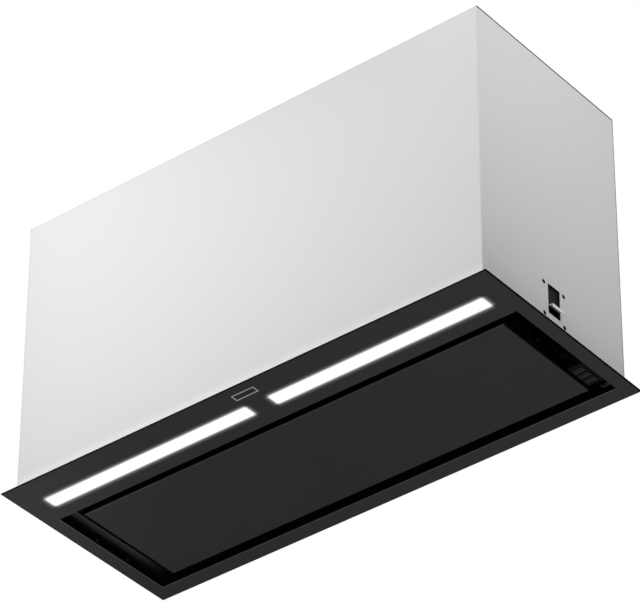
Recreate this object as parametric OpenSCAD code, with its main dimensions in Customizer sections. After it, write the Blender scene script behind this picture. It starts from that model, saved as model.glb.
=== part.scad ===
// Integrated range hood: a slim flange with two light strips, a hinged suction panel,
// grease filters and a centrifugal blower, in a folded sheet-metal casing for a wall cabinet.
// Origin: centre of the flange's underside. +Z is up, +X right, and the lights lie on the -Y side.

/* [Casing] */
// Width of the visible flange
flange_w = 700; // [640:10:900]
// Depth of the visible flange
flange_d = 290; // [286:1:320]
// Thickness of the flange sheet
flange_t = 1.5; // [1.2:0.1:1.6]
// Height from the flange's underside to the top of the casing
body_h = 387; // [380:1:450]
// Overhang of the flange beyond the casing
flange_overhang = 13; // [10:1:14]
// Thickness of the casing's sheets
sheet_t = 1; // [0.8:0.1:1.2]
// Thickness of the top cover
cover_t = 1.2; // [1:0.1:2]
// Width of the casing's turned-in edges
return_w = 12; // [10:1:14]
// Height of the rim that locates the walls on the flange
rim_h = 12; // [8:1:14]

/* [Opening] */
// From the casing's side to the suction opening
opening_side = 6; // [6:0.5:8]
// From the casing's back to the suction opening
opening_back = 9.5; // [9:0.5:12]
// Depth of the light zone in front of the suction opening
light_zone_d = 68.5; // [60:0.5:72]
// Height of the lip that is turned up around the opening
lip_h = 10; // [8:1:11]
// Radius of the curved air guides above the side lips
guide_r = 12; // [11:0.5:12.5]
// Clearance between the clip holders and the filter plate
recess_clear = 6; // [4:0.5:12]

/* [Suction panel] */
// Gap between panel and opening at the sides
gap_side = 26; // [25:0.5:32]
// Gap between panel and opening at the front
gap_front = 12.5; // [10:0.5:16]
// Gap between panel and opening at the back
gap_back = 12.2; // [12:0.1:14]
// Recess of the panel above the flange's underside
panel_recess = 2; // [1.6:0.1:2.4]
// Height of the panel's edges
panel_h = 12; // [10:0.5:13]
// Thickness of the panel's face sheet
panel_t = 1.2; // [1:0.1:1.5]
// Outer radius of the panel's folded edges
panel_r = 2.2; // [1.8:0.1:3]
// Radius of the hinge pins
pin_r = 2; // [1.5:0.1:2.5]
// Height of the hinge axis above the flange's underside
hinge_z = 20; // [19.5:0.1:20.6]
// From the panel's back edge to the hinge axis
hinge_in = 10.3; // [9.5:0.1:11]
// From the panel's side edge to each hinge
hinge_side = 65; // [40:1:90]

/* [Lights] */
// From the flange's side edge to the light strip
light_side = 30; // [28:1:50]
// From the flange's front edge to the light strip
light_front = 35; // [32:0.5:38]
// Width of each light strip's face
light_w = 26; // [18:0.5:28]
// Gap between the two light strips
light_gap = 25; // [20:1:60]
// Height of the aluminium light channel
channel_h = 15; // [12:1:18]

/* [Controls] */
// From the opening's back edge to the middle of the push-button pod
pod_back = 39.5; // [38:0.5:50]
// Distance between the push buttons
key_pitch = 11; // [10.5:0.5:13]
// Width of a push button
key_w = 8; // [6:0.5:9]
// Length of a push button
key_l = 14.5; // [13:0.5:18]
// Travel of a push button
key_travel = 1.5; // [1:0.1:1.8]

/* [Side clips] */
// Width of the clip windows in the side walls
window_w = 22; // [18:0.5:24]
// Height of the clip windows
window_h = 40; // [38:0.5:42]
// Height of the windows' lower edge
window_z = 26; // [25:0.5:28]
// Radius of the fixing holes around each window
fix_r = 2.75; // [2:0.05:3]
// Front-to-back distance between the fixing holes
fix_dy = 37; // [36:0.5:44]
// Vertical distance between the fixing holes
fix_dz = 42.8; // [42:0.2:46]
// Height of the lower fixing holes
fix_z = 21.2; // [20:0.2:22]
// How far the clip's lip stands out of the wall
clip_out = 4.5; // [3:0.5:5]

/* [Filters] */
// Thickness of the grease filters
filter_t = 9; // [8:0.5:10]
// Width of the filters' frame bars
filter_bar = 12; // [10:1:16]
// Free gap around each filter
filter_gap = 3; // [2:0.5:4]
// Travel of the filter latches
latch_travel = 5; // [4:0.5:5]

/* [Blower] */
// Radius of the impeller
impeller_r = 78; // [72:1:80]
// From the impeller's end to the outside of the scroll's side plate
inlet_clear = 13; // [11:1:24]
// Number of blades in each row
blade_n = 36; // [24:1:40]
// Radius of the motor
motor_r = 42; // [36:1:46]
// Length of the motor
motor_l = 76; // [60:1:78]
// Half of the scroll housing's width
scroll_hw = 79; // [78:1:84]
// Wall of the scroll housing
scroll_wall = 2.5; // [2:0.1:3]
// Radius of the inlets in the scroll housing
inlet_r = 64; // [60:1:66]
// Radius of the motor shaft
shaft_r = 4; // [3:0.5:5]

/* [Duct] */
// Outer radius of the duct collar
duct_r = 75; // [62.5:0.5:75]
// Height of the duct collar above its base plate
collar_h = 45; // [35:1:60]
// Wall of the duct collar
collar_wall = 1.5; // [1.2:0.1:2.5]
// Radius of the cable inlet
gland_bore_r = 4.5; // [3.5:0.1:5.5]

/* [Hidden] */

$fn = 64;
cut = 1;
fit_gap = 0.3;
run_gap = 0.05;

// Casing
body_w = flange_w - 2 * flange_overhang;
body_d = flange_d - 2 * flange_overhang;
in_x = body_w / 2 - sheet_t;
in_y = body_d / 2 - sheet_t;
wall_top = body_h - cover_t;

// Opening
holder_top = 6;
recess_h = window_z + window_h + holder_top + recess_clear;
open_x = body_w / 2 - opening_side;
open_y0 = -body_d / 2 + light_zone_d;
open_y1 = body_d / 2 - opening_back;
lip_x = open_x + flange_t;
lip_y0 = open_y0 - flange_t;
lip_y1 = open_y1 + flange_t;
guide_x = lip_x - guide_r;
guide_steps = 10;

// Suction panel
panel_x = open_x - gap_side;
panel_y0 = open_y0 + gap_front;
panel_y1 = open_y1 - gap_back;
panel_top = panel_recess + panel_h;
hinge_y = panel_y1 - hinge_in;
hinge_x = panel_x - hinge_side;
backing_t = 1.2;
arm_w = 20;
arm_t = 3;
foot_l = 34;
foot_t = 1.5;
eye_r = 5;
bracket_w = 30;
ear_t = 1.5;
ear_in = 2.4;
ear_clear = 0.5;
ear_r = hinge_z - panel_top - foot_t - ear_clear;
bracket_clear = 5.7;
bracket_z = hinge_z + hinge_in + bracket_clear;
bracket_h = 22;
pin_head_r = 3.5;
pin_head_t = 1.5;
magnet_l = 30;
magnet_d = 20;
magnet_h = 8;
magnet_side = 90;
magnet_x = hinge_x - magnet_side;
magnet_plate_t = 1.5;
rivet_r = 1.6;
rivet_head_r = 2.5;
rivet_head_t = 1.2;
rivet_z = lip_h / 2;
rivet_shares = [0.522, 0.949];

// Lights
light_l = (flange_w - 2 * light_side - light_gap) / 2;
light_x0 = light_gap / 2;
light_y0 = -flange_d / 2 + light_front;
diffuser_recess = 0.2;
diffuser_wing = 3;
diffuser_wing_t = 2;
channel_wall = 1.5;
board_t = 1.6;
board_drop = 2;

// Filters
filter_mid = 6;
ledge = 10;
filter_x0 = filter_mid / 2;
filter_x1 = guide_x - filter_gap;
filter_y0 = lip_y0 + filter_gap;
filter_y1 = lip_y1 - filter_gap;
filter_z1 = recess_h;
filter_z0 = recess_h - filter_t;
filter_wall = 1.2;
mesh_t = 1.5;
mesh_nx = 10;
mesh_ny = 8;
mesh_web = 5;
tongue_w = 24;
tongue_t = 2;
tongue_out = 1;
latch_w = 28;
latch_l = 26;
latch_t = 2.4;
nose_w = 16;
nose_root = 1.2;
nose_l = latch_travel + nose_root;
nose_out = 1;
latch_in = 1;
cheek_w = 2;
hook_w = 2;
scoop_w = 18;
scoop_h = 3;
scoop_t = 3;

// Push buttons
pod_clear = 2.5;
pod_face_z = 3.2;
pod_top_z = 30;
pod_end = 9;
pod_x0 = panel_x + pod_clear;
pod_y = open_y1 - pod_back;
key_z = 1.4;
key_h = 9;
key_gap = 0.25;
key_crown_h = 1.2;
pocket_clear = 1;
key_x = pod_x0 + pod_clear + key_l / 2;
pod_y0 = pod_y - key_pitch - pod_end;
pod_y1 = pod_y + key_pitch + pod_end;
rivet_places = [for (s = rivet_shares) open_y0 + s * (pod_y0 - open_y0)];
receiver_l = 13;
receiver_w = 6;
receiver_h = 5.5;
receiver_back = 9;
lens_t = 1;

// Side clips
holder_wall = 1.5;
holder_side = 4;
holder_low = 2;
holder_lap = 1;
holder_x1 = in_x;
holder_x0 = lip_x - guide_r + sheet_t + fit_gap;
holder_z0 = max(window_z - holder_low, lip_h + guide_r + sheet_t + fit_gap);
holder_z1 = window_z + window_h + holder_top;
pad_recess = 1.5;
pad_t = 3;
clip_t = 1;
clip_side = 1;
clip_w = window_w - 2 * clip_side;
clip_lip_up = 9.5;
clip_lip_z1 = window_z + clip_lip_up;
clip_lip_h = 3;
clip_rise = 2.4;
clip_eye_r = 1.8;
clip_x = in_x - pad_recess - pad_t - clip_eye_r - fit_gap;
clip_down = 4;
clip_z = window_z + window_h - clip_down;
pad_clear = 1.2;
pad_z0 = clip_lip_z1 + clip_rise + pad_clear;

// Blower
impeller_hw = scroll_hw - inlet_clear;
scroll_gap = 8;
down_turn = 90;
up_turn = 270;
scroll_grow = 28;
scroll_r0 = impeller_r + scroll_gap;
scroll_r1 = scroll_r0 + scroll_grow;
scroll_sweep = 300;
scroll_step = 10;
rim_grow = 5;
rim_t = 3;
blower_clear = 10.4;
adaptor_h = 18;
throat_share = 0.6;
plate_side = 10;
collar_base = duct_r + plate_side;
collar_back = 1;
duct_y = in_y - return_w - collar_base - collar_back;
fan_y = duct_y + duct_r - scroll_r1;
fan_z = recess_h + sheet_t + blower_clear + scroll_r(down_turn) + rim_grow;
fan_at = [fan_y, fan_z];
scroll_top = fan_z + scroll_r(up_turn) + rim_grow;
outlet_z = wall_top - adaptor_h;
throat_z = scroll_top + (outlet_z - scroll_top) * throat_share;
outlet_y0 = duct_y - duct_r;
outlet_y1 = duct_y + duct_r;
bell_w = 4;
bell_h = 6;
blade_depth = 12;
blade_t = 1;
blade_in = 0.5;
blade_lean = 34;
blade_steps = 4;
disc_t = 2;
ring_w = 8;
ring_t = 3;
hub_r = 12;
hub_l = 20;
motor_cap_l = 12;
motor_cap_r = 30;
motor_boss_r = 12;
motor_boss_l = 4;
shaft_in = 22;
shaft_out = 12;
spider_t = 2.5;
spider_hub_r = 28;
spider_arm_w = 14;
post_r = 5;
post_l = 11;
bush_r = 6;
bush_t = 4;
bush_clear = 2;
post_at_r = inlet_r + bell_w + bush_r + bush_clear;
motor_front = scroll_hw + bush_t + post_l - motor_l;
stay_w = 40;
stay_h = 50;
stay_t = 2;
adaptor_plate_t = 2;

// Duct collar and damper
base_t = 1.5;
collar_in_r = duct_r - collar_wall;
stop_w = 3;
stop_t = 1.5;
stop_up = 4;
stop_z = body_h + base_t + stop_up;
flap_t = 1;
flap_gap = 1.5;
spindle_r = 1.5;
flap_z = stop_z + stop_t + fit_gap;
spindle_up = 1.6;
spindle_z = flap_z + flap_t / 2 + spindle_up;
knuckle_r = 2.6;
flap_edge = knuckle_r + fit_gap;
flap_r = collar_in_r - flap_gap;
knuckle_share = 0.22;
knuckle_l = flap_r * knuckle_share;
knuckle_shares = [0.24, 0.7];

// Electrics
box_w = 120;
box_clear = 10;
box_h = 45;
box_wall = 2;
box_side = 40;
lid_t = 2;
capacitor_r = 15;
capacitor_l = 55;
capacitor_side = 156;
saddle_t = 2;
gland_side = 60;
gland_back = 30;
gland_r = 8;
gland_nut_r = 11;
gland_nut_h = 6;
gland_head_h = 12;
gland_below = 12;

// Screws
screw_r = 1.9;
screw_hole_r = 2.1;
screw_head_r = 3.8;
screw_head_h = 2.2;
screw_l = 6;
screw_margin = 1;
screw_top_share = 0.8;
cross_share = 0.4;
screw_shares = [-0.75, -0.25, 0.25, 0.75];
side_screw_share = 0.5;
cross_w = screw_r * cross_share;

function unit(v) = v / norm(v);
function left_of(v) = [-unit(v)[1], unit(v)[0]];
function mitre(n, m) = (n + m) / (1 + n * m);

// The outline of a folded sheet: the points of one side, and the same points a thickness to their left
function folded(pts, t) = let (
        last = len(pts) - 1,
        normals = [for (i = [0 : last - 1]) left_of(pts[i + 1] - pts[i])],
        far = [for (i = [0 : last])
            pts[i] + t * (i == 0 ? normals[0] : i == last ? normals[last - 1] : mitre(normals[i - 1], normals[i]))]
    )
    concat(pts, [for (i = [last : -1 : 0]) far[i]]);

function round_at(c, r, a) = c + r * [cos(a), sin(a)];
function arc(c, r, a0, a1, n) = [for (i = [0 : n]) round_at(c, r, a0 + (a1 - a0) * i / n)];
function reversed(pts) = [for (i = [len(pts) - 1 : -1 : 0]) pts[i]];

module block(lo, hi) {
    translate(lo) cube(hi - lo);
}

// A profile drawn in Y and Z, pulled along X
module along_x(x0, x1) {
    translate([x0, 0, 0]) rotate([90, 0, 90]) linear_extrude(x1 - x0) children();
}

// A profile drawn in X and Z, pulled along Y
module along_y(y0, y1) {
    translate([0, y1, 0]) rotate([90, 0, 0]) linear_extrude(y1 - y0) children();
}

module rod_x(x0, x1, r) {
    translate([x0, 0, 0]) rotate([0, 90, 0]) cylinder(h = x1 - x0, r = r);
}

module at_both_sides() {
    children();
    mirror([1, 0, 0]) children();
}

// Casing

module ring_wall(x, y0, y1, t, z1) {
    difference() {
        block([-x - t, y0 - t, 0], [x + t, y1 + t, z1]);
        block([-x, y0, -cut], [x, y1, z1 + cut]);
    }
}

module light_window(grow, z0, z1) {
    block([light_x0 - grow, light_y0 - grow, z0], [light_x0 + light_l + grow, light_y0 + light_w + grow, z1]);
}

module bottom_frame() {
    color("#2b2b2c") difference() {
        union() {
            block([-flange_w / 2, -flange_d / 2, 0], [flange_w / 2, flange_d / 2, flange_t]);
            ring_wall(open_x, open_y0, open_y1, flange_t, lip_h);
            ring_wall(in_x - flange_t, -in_y + flange_t, in_y - flange_t, flange_t, rim_h);
        }
        block([-open_x, open_y0, -cut], [open_x, open_y1, flange_t + cut]);
        at_both_sides() light_window(0, -cut, flange_t + cut);
        at_both_sides() rivet_shanks(screw_hole_r - screw_r);
    }
}

module rivet_shanks(grow) {
    for (y = rivet_places) {
        translate([0, y, rivet_z]) rod_x(open_x, lip_x + sheet_t, rivet_r + grow);
    }
}

module lip_rivets() {
    color("#3a3a3c") at_both_sides() {
        rivet_shanks(0);
        for (y = rivet_places) {
            translate([0, y, rivet_z]) rod_x(open_x - rivet_head_t, open_x, rivet_head_r);
        }
    }
}

// The front wall, and turned about the rear wall: turned-in edges at both ends and at the top
module end_wall(half_w) {
    block([-half_w, -body_d / 2, flange_t], [half_w, -in_y, wall_top]);
    difference() {
        block([-in_x + return_w + sheet_t, -in_y, wall_top - sheet_t],
            [in_x - return_w - sheet_t, -in_y + return_w, wall_top]);
        cover_screw_places() translate([0, 0, wall_top - sheet_t - cut])
            cylinder(h = sheet_t + 2 * cut, r = screw_hole_r);
    }
    at_both_sides() block([in_x - sheet_t, -in_y, rim_h + fit_gap], [in_x, -in_y + return_w, wall_top]);
}

module front_wall() {
    color("#d9dadb") end_wall(in_x);
}

module rear_wall() {
    color("#d9dadb") rotate([0, 0, 180]) end_wall(body_w / 2);
}

module right_side_wall() {
    difference() {
        union() {
            block([in_x, -body_d / 2, flange_t], [body_w / 2, in_y, wall_top]);
            block([in_x - return_w, -in_y + return_w + sheet_t, wall_top - sheet_t],
                [in_x, in_y - return_w - sheet_t, wall_top]);
        }
        block([in_x - cut, -window_w / 2, window_z], [body_w / 2 + cut, window_w / 2, window_z + window_h]);
        for (y = [-fix_dy / 2, fix_dy / 2], z = [fix_z, fix_z + fix_dz]) {
            translate([0, y, z]) rod_x(in_x - cut, body_w / 2 + cut, fix_r);
        }
        cover_screw_places() translate([0, 0, wall_top - sheet_t - cut])
            cylinder(h = sheet_t + 2 * cut, r = screw_hole_r);
    }
}

module right_wall() {
    color("#c9cacb") right_side_wall();
}

module left_wall() {
    color("#c9cacb") mirror([1, 0, 0]) right_side_wall();
}

module cover_screw_places() {
    for (s = screw_shares, y = [-in_y + return_w / 2, in_y - return_w / 2]) {
        translate([s * in_x, y, 0]) children();
    }
    for (x = [-in_x + return_w / 2, in_x - return_w / 2], s = [-side_screw_share, side_screw_share]) {
        translate([x, s * in_y, 0]) children();
    }
}

module collar_screw_places() {
    for (x = [-1, 1], y = [-1, 1]) {
        translate([x, y, 0] * (collar_base - screw_head_r - screw_margin) + [0, duct_y, 0]) children();
    }
}

module top_cover() {
    color("#c4c5c6") difference() {
        block([-body_w / 2, -body_d / 2, wall_top], [body_w / 2, body_d / 2, body_h]);
        translate([0, duct_y, wall_top - cut]) cylinder(h = cover_t + 2 * cut, r = collar_in_r, $fn = 96);
        translate([gland_x, gland_y, wall_top - cut]) cylinder(h = cover_t + 2 * cut, r = gland_r + run_gap);
        cover_screw_places() translate([0, 0, wall_top - cut]) cylinder(h = cover_t + 2 * cut, r = screw_hole_r);
        collar_screw_places() translate([0, 0, wall_top - cut]) cylinder(h = cover_t + 2 * cut, r = screw_hole_r);
    }
}

module pan_screw(z, l) {
    translate([0, 0, z - l]) cylinder(h = l, r = screw_r);
    difference() {
        translate([0, 0, z]) cylinder(h = screw_head_h, r1 = screw_head_r, r2 = screw_head_r * screw_top_share);
        for (a = [0, 90]) {
            rotate([0, 0, a]) translate([-screw_head_r / 2, -cross_w / 2, z + screw_head_h / 2])
                cube([screw_head_r, cross_w, screw_head_h]);
        }
    }
}

module cover_screws() {
    color("silver") cover_screw_places() pan_screw(body_h, screw_l);
}

module collar_screws() {
    color("silver") collar_screw_places() pan_screw(body_h + base_t, screw_l);
}

// Suction recess

module baffle_sheet(wall_y, away) {
    t = away * sheet_t;
    end_y = away * min(abs(wall_y) + return_w, in_y - fit_gap);
    along_x(-lip_x - sheet_t, lip_x + sheet_t) polygon([
        [wall_y, flange_t], [wall_y + t, flange_t], [wall_y + t, recess_h - sheet_t],
        [end_y, recess_h - sheet_t], [end_y, recess_h], [wall_y, recess_h]]);
}

module front_baffle() {
    color("#303032") difference() {
        baffle_sheet(lip_y0, -1);
        at_both_sides() latch_nose(fit_gap);
    }
}

module rear_baffle() {
    color("#303032") difference() {
        baffle_sheet(lip_y1, 1);
        at_both_sides() filter_tongues(fit_gap);
    }
}

// The inner side of the guide: up behind the lip, over a quarter round, and up to the filter plate
module right_guide_sheet() {
    inner = concat([[lip_x, flange_t]],
        arc([guide_x, lip_h], guide_r, 0, 90, guide_steps),
        [[guide_x, recess_h], [lip_x, recess_h]]);
    outer = concat([[lip_x + sheet_t, flange_t]],
        arc([guide_x, lip_h], guide_r + sheet_t, 0, guide_outer_end, guide_steps),
        [[guide_x + sheet_t, recess_h - sheet_t], [lip_x, recess_h - sheet_t]]);
    difference() {
        along_y(lip_y0, lip_y1) polygon(concat(inner, reversed(outer)));
        rivet_shanks(screw_hole_r - screw_r);
    }
}

guide_outer_end = acos(sheet_t / (guide_r + sheet_t));

module right_air_guide() {
    color("#2f2f31") right_guide_sheet();
}

module left_air_guide() {
    color("#2f2f31") mirror([1, 0, 0]) right_guide_sheet();
}

module filter_plate() {
    color("#b9babb") difference() {
        block([-in_x + sheet_t + fit_gap, -in_y + fit_gap, recess_h],
            [in_x - sheet_t - fit_gap, in_y - fit_gap, recess_h + sheet_t]);
        at_both_sides() block([filter_x0 + ledge, filter_y0 + ledge, recess_h - cut],
            [filter_x1 - ledge, filter_y1 - ledge, recess_h + sheet_t + cut]);
    }
}

// Lights

module right_diffuser() {
    light_window(-fit_gap, diffuser_recess, flange_t);
    light_window(diffuser_wing, flange_t, flange_t + diffuser_wing_t);
}

module led_diffuser_right() {
    color("white") right_diffuser();
}

module led_diffuser_left() {
    color("white") mirror([1, 0, 0]) right_diffuser();
}

module right_channel() {
    difference() {
        light_window(diffuser_wing + fit_gap + channel_wall, flange_t, flange_t + channel_h);
        light_window(diffuser_wing + fit_gap, flange_t - cut, flange_t + channel_h - channel_wall);
    }
}

module led_channel_right() {
    color("#9fa2a5") right_channel();
}

module led_channel_left() {
    color("#9fa2a5") mirror([1, 0, 0]) right_channel();
}

module led_boards() {
    z1 = flange_t + channel_h - channel_wall;
    color("#e8e8e0") at_both_sides() light_window(-board_drop, z1 - board_t, z1);
}

// Suction panel

// A section of the tray: upright edges that turn into its face with radius r
module tray_profile(a0, a1, z0, z1, r) {
    translate([a0, z0 + r]) square([a1 - a0, z1 - z0 - r]);
    translate([a0 + r, z0]) square([a1 - a0 - 2 * r, z1 - z0]);
    for (a = [a0 + r, a1 - r]) {
        translate([a, z0 + r]) circle(r = r);
    }
}

module tray_form(inset, z1) {
    x = panel_x - inset;
    y0 = panel_y0 + inset;
    y1 = panel_y1 - inset;
    z0 = panel_recess + inset;
    intersection() {
        along_x(-x, x) tray_profile(y0, y1, z0, z1, panel_r - inset);
        along_y(y0, y1) tray_profile(-x, x, z0, z1, panel_r - inset);
    }
}

module suction_panel() {
    color("#2b2b2c") difference() {
        tray_form(0, panel_top);
        tray_form(panel_t, panel_top + cut);
    }
}

module panel_backing() {
    color("#303032") block([-panel_x + panel_t, panel_y0 + panel_t, panel_top - backing_t],
        [panel_x - panel_t, panel_y1 - panel_t, panel_top]);
}

module hinge_arm(x) {
    back = panel_y1 - panel_t;
    block([x - arm_w / 2, back - foot_l, panel_top], [x + arm_w / 2, back, panel_top + foot_t]);
    along_x(x - arm_t / 2, x + arm_t / 2) difference() {
        union() {
            translate([hinge_y, hinge_z]) circle(r = eye_r);
            polygon([[hinge_y - eye_r - arm_t, panel_top + foot_t], [hinge_y + eye_r, panel_top + foot_t],
                [hinge_y + eye_r, hinge_z], [hinge_y - eye_r, hinge_z]]);
        }
        translate([hinge_y, hinge_z]) circle(r = pin_r + run_gap);
    }
}

module hinge_arm_left() {
    color("#8f9294") hinge_arm(-hinge_x);
}

module hinge_arm_right() {
    color("#8f9294") hinge_arm(hinge_x);
}

module hinge_ear() {
    difference() {
        union() {
            translate([hinge_y - ear_r, hinge_z]) square([2 * ear_r, bracket_z + bracket_h - hinge_z]);
            translate([hinge_y - ear_r, bracket_z]) square([lip_y1 - hinge_y + ear_r, bracket_h]);
            translate([hinge_y, hinge_z]) circle(r = ear_r);
        }
        translate([hinge_y, hinge_z]) circle(r = pin_r + run_gap);
    }
}

module hinge_bracket(x) {
    block([x - bracket_w / 2, lip_y1 - foot_t, bracket_z], [x + bracket_w / 2, lip_y1, bracket_z + bracket_h]);
    for (side = [-ear_in - ear_t / 2, ear_in + ear_t / 2]) {
        along_x(x + side - ear_t / 2, x + side + ear_t / 2) hinge_ear();
    }
}

module hinge_bracket_left() {
    color("#8f9294") hinge_bracket(-hinge_x);
}

module hinge_bracket_right() {
    color("#8f9294") hinge_bracket(hinge_x);
}

module hinge_pins() {
    outer = ear_in + ear_t + run_gap;
    color("silver") for (x = [-hinge_x, hinge_x]) {
        translate([x, hinge_y, hinge_z]) {
            rod_x(-outer, outer, pin_r);
            rod_x(outer, outer + pin_head_t, pin_head_r);
            rod_x(-outer - pin_head_t, -outer, pin_head_r);
        }
    }
}

module catch_magnets() {
    z0 = panel_top + fit_gap;
    color("#4a4a4c") for (x = [-magnet_x, magnet_x]) {
        block([x - magnet_l / 2, lip_y0, z0], [x + magnet_l / 2, lip_y0 + magnet_plate_t, z0 + 2 * magnet_h]);
        block([x - magnet_l / 2, lip_y0, z0], [x + magnet_l / 2, panel_y0 + magnet_d / 2, z0 + magnet_h]);
    }
}

// Filters

module right_filter_frame() {
    mid_x = (filter_x0 + filter_x1) / 2;
    difference() {
        block([filter_x0, filter_y0, filter_z0], [filter_x1, filter_y1, filter_z1]);
        block([filter_x0 + filter_bar, filter_y0 + filter_bar, filter_z0 - cut],
            [filter_x1 - filter_bar, filter_y1 - filter_bar, filter_z1 + cut]);
        block([filter_x0 + filter_wall, filter_y0 + filter_wall, filter_z0 + filter_wall],
            [filter_x1 - filter_wall, filter_y1 - filter_wall, filter_z1 - filter_wall]);
    }
    filter_tongues(0);
    for (side = [-1, 1]) {
        cheek = mid_x + side * (latch_w / 2 + fit_gap + cheek_w / 2);
        block([cheek - cheek_w / 2, filter_y0, latch_z0 - cheek_w],
            [cheek + cheek_w / 2, filter_y0 + filter_bar, filter_z0]);
        hook = mid_x + side * (latch_w / 2 - hook_w / 2 + fit_gap);
        block([hook - hook_w / 2, filter_y0, latch_z0 - cheek_w],
            [hook + hook_w / 2, filter_y0 + filter_bar, latch_z0 - run_gap]);
    }
}

// Two tongues that hook into the rear baffle
module filter_tongues(grow) {
    for (x = [filter_x0 + 2 * tongue_w, filter_x1 - 2 * tongue_w]) {
        block([x - tongue_w / 2 - grow, filter_y1 - filter_wall, filter_z1 - filter_t / 2 - tongue_t / 2 - grow],
            [x + tongue_w / 2 + grow, lip_y1 + sheet_t + tongue_out + grow, filter_z1 - filter_t / 2 + tongue_t / 2 + grow]);
    }
}

module filter_frame_right() {
    color("#b4b7ba") right_filter_frame();
}

module filter_frame_left() {
    color("#b4b7ba") mirror([1, 0, 0]) right_filter_frame();
}

// An expanded sheet: rows of diamond openings between its edges
module right_filter_mesh() {
    x0 = filter_x0 + filter_wall;
    x1 = filter_x1 - filter_wall;
    y0 = filter_y0 + filter_wall;
    y1 = filter_y1 - filter_wall;
    z0 = (filter_z0 + filter_z1 - mesh_t) / 2;
    edge = filter_bar;
    step_x = (x1 - x0 - 2 * edge) / mesh_nx;
    step_y = (y1 - y0 - 2 * edge) / mesh_ny;
    difference() {
        block([x0, y0, z0], [x1, y1, z0 + mesh_t]);
        for (i = [0 : mesh_nx - 1], j = [0 : mesh_ny - 1]) {
            translate([x0 + edge + (i + 0.5) * step_x, y0 + edge + (j + 0.5) * step_y, z0 - cut])
                linear_extrude(mesh_t + 2 * cut)
                    polygon([[-step_x + mesh_web, 0], [0, -step_y + mesh_web],
                        [step_x - mesh_web, 0], [0, step_y - mesh_web]] / 2);
        }
    }
}

module filter_mesh_right() {
    color("#a6a9ac") right_filter_mesh();
}

module filter_mesh_left() {
    color("#a6a9ac") mirror([1, 0, 0]) right_filter_mesh();
}

latch_z1 = filter_z0 - run_gap;
latch_z0 = latch_z1 - latch_t;

module latch_nose(grow) {
    mid_x = (filter_x0 + filter_x1) / 2;
    block([mid_x - nose_w / 2 - grow, lip_y0 - sheet_t - nose_out - grow, latch_z0 - grow],
        [mid_x + nose_w / 2 + grow, filter_y0 + nose_l, latch_z1 + grow]);
}

module right_latch() {
    mid_x = (filter_x0 + filter_x1) / 2;
    y0 = filter_y0 + latch_in;
    latch_nose(0);
    block([mid_x - latch_w / 2, y0, latch_z0], [mid_x + latch_w / 2, y0 + latch_l, latch_z1]);
    block([mid_x - scoop_w / 2, y0 + latch_l - scoop_t, latch_z0 - scoop_h],
        [mid_x + scoop_w / 2, y0 + latch_l, latch_z0]);
}

module filter_latch_right() {
    color("#55585b") right_latch();
}

module filter_latch_left() {
    color("#55585b") mirror([1, 0, 0]) right_latch();
}

// Blower

function scroll_r(s) = scroll_r1 - (scroll_r1 - scroll_r0) * s / scroll_sweep;
function scroll_at(s, grow) = round_at(fan_at, scroll_r(s) + grow, -s);
function scroll_spiral(grow, s0, s1) = [for (s = [s0 : -scroll_step : s1]) scroll_at(s, grow)];

tongue = scroll_at(scroll_sweep, 0);
throat = [outlet_y0, throat_z];
throat_normal = -left_of(throat - tongue);
tongue_nose = [sin(-scroll_sweep), -cos(-scroll_sweep)];

scroll_outside = concat(scroll_spiral(0, scroll_sweep, 0),
    [[outlet_y1, outlet_z], [outlet_y0, outlet_z], throat]);
scroll_inside = concat(scroll_spiral(-scroll_wall, scroll_sweep, 0),
    [[outlet_y1 - scroll_wall, outlet_z + cut], [outlet_y0 + scroll_wall, outlet_z + cut],
        [outlet_y0 + scroll_wall, throat_z + scroll_wall * throat_share],
        tongue + scroll_wall * throat_normal, tongue + scroll_wall * tongue_nose]);
scroll_band = concat(scroll_spiral(rim_grow, scroll_sweep - 3 * scroll_step, scroll_step),
    reversed(scroll_spiral(-scroll_wall / 2, scroll_sweep - 3 * scroll_step, scroll_step)));

module right_scroll() {
    difference() {
        union() {
            along_x(0, scroll_hw) polygon(scroll_outside);
            along_x(0, rim_t) polygon(scroll_band);
            translate([0, fan_y, fan_z]) rod_x(scroll_hw, scroll_hw + bell_h, inlet_r + bell_w);
        }
        along_x(-cut, scroll_hw - scroll_wall) polygon(scroll_inside);
        translate([0, fan_y, fan_z]) rod_x(scroll_hw - scroll_wall - cut, scroll_hw + bell_h + cut, inlet_r);
    }
}

module blower_scroll_right() {
    color("#e3e4e2") right_scroll();
}

module blower_scroll_left() {
    color("#e3e4e2") mirror([1, 0, 0]) right_scroll();
}

function blade_r(u) = impeller_r - blade_in - blade_depth + blade_depth * u;
function blade_side(side) = [for (i = [0 : blade_steps]) let (u = i / blade_steps)
    round_at([0, 0], blade_r(u), blade_lean * u * u / 2 + side * blade_t / blade_r(u) * 90 / PI)];

module on_fan_axis() {
    translate([0, fan_y, fan_z]) rotate([0, 90, 0]) children();
}

module impeller() {
    color("#3c3f42") on_fan_axis() difference() {
        union() {
            for (i = [0 : blade_n - 1]) {
                rotate([0, 0, i * 360 / blade_n]) translate([0, 0, -impeller_hw])
                    linear_extrude(2 * impeller_hw) polygon(concat(blade_side(-1), reversed(blade_side(1))));
            }
            translate([0, 0, -disc_t / 2]) cylinder(h = disc_t, r = impeller_r);
            translate([0, 0, -hub_l / 2]) cylinder(h = hub_l, r = hub_r);
            for (z = [-impeller_hw, impeller_hw - ring_t]) {
                translate([0, 0, z]) difference() {
                    cylinder(h = ring_t, r = impeller_r);
                    translate([0, 0, -cut]) cylinder(h = ring_t + 2 * cut, r = impeller_r - ring_w);
                }
            }
        }
        translate([0, 0, -hub_l]) cylinder(h = 2 * hub_l, r = shaft_r + run_gap);
    }
}

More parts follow.
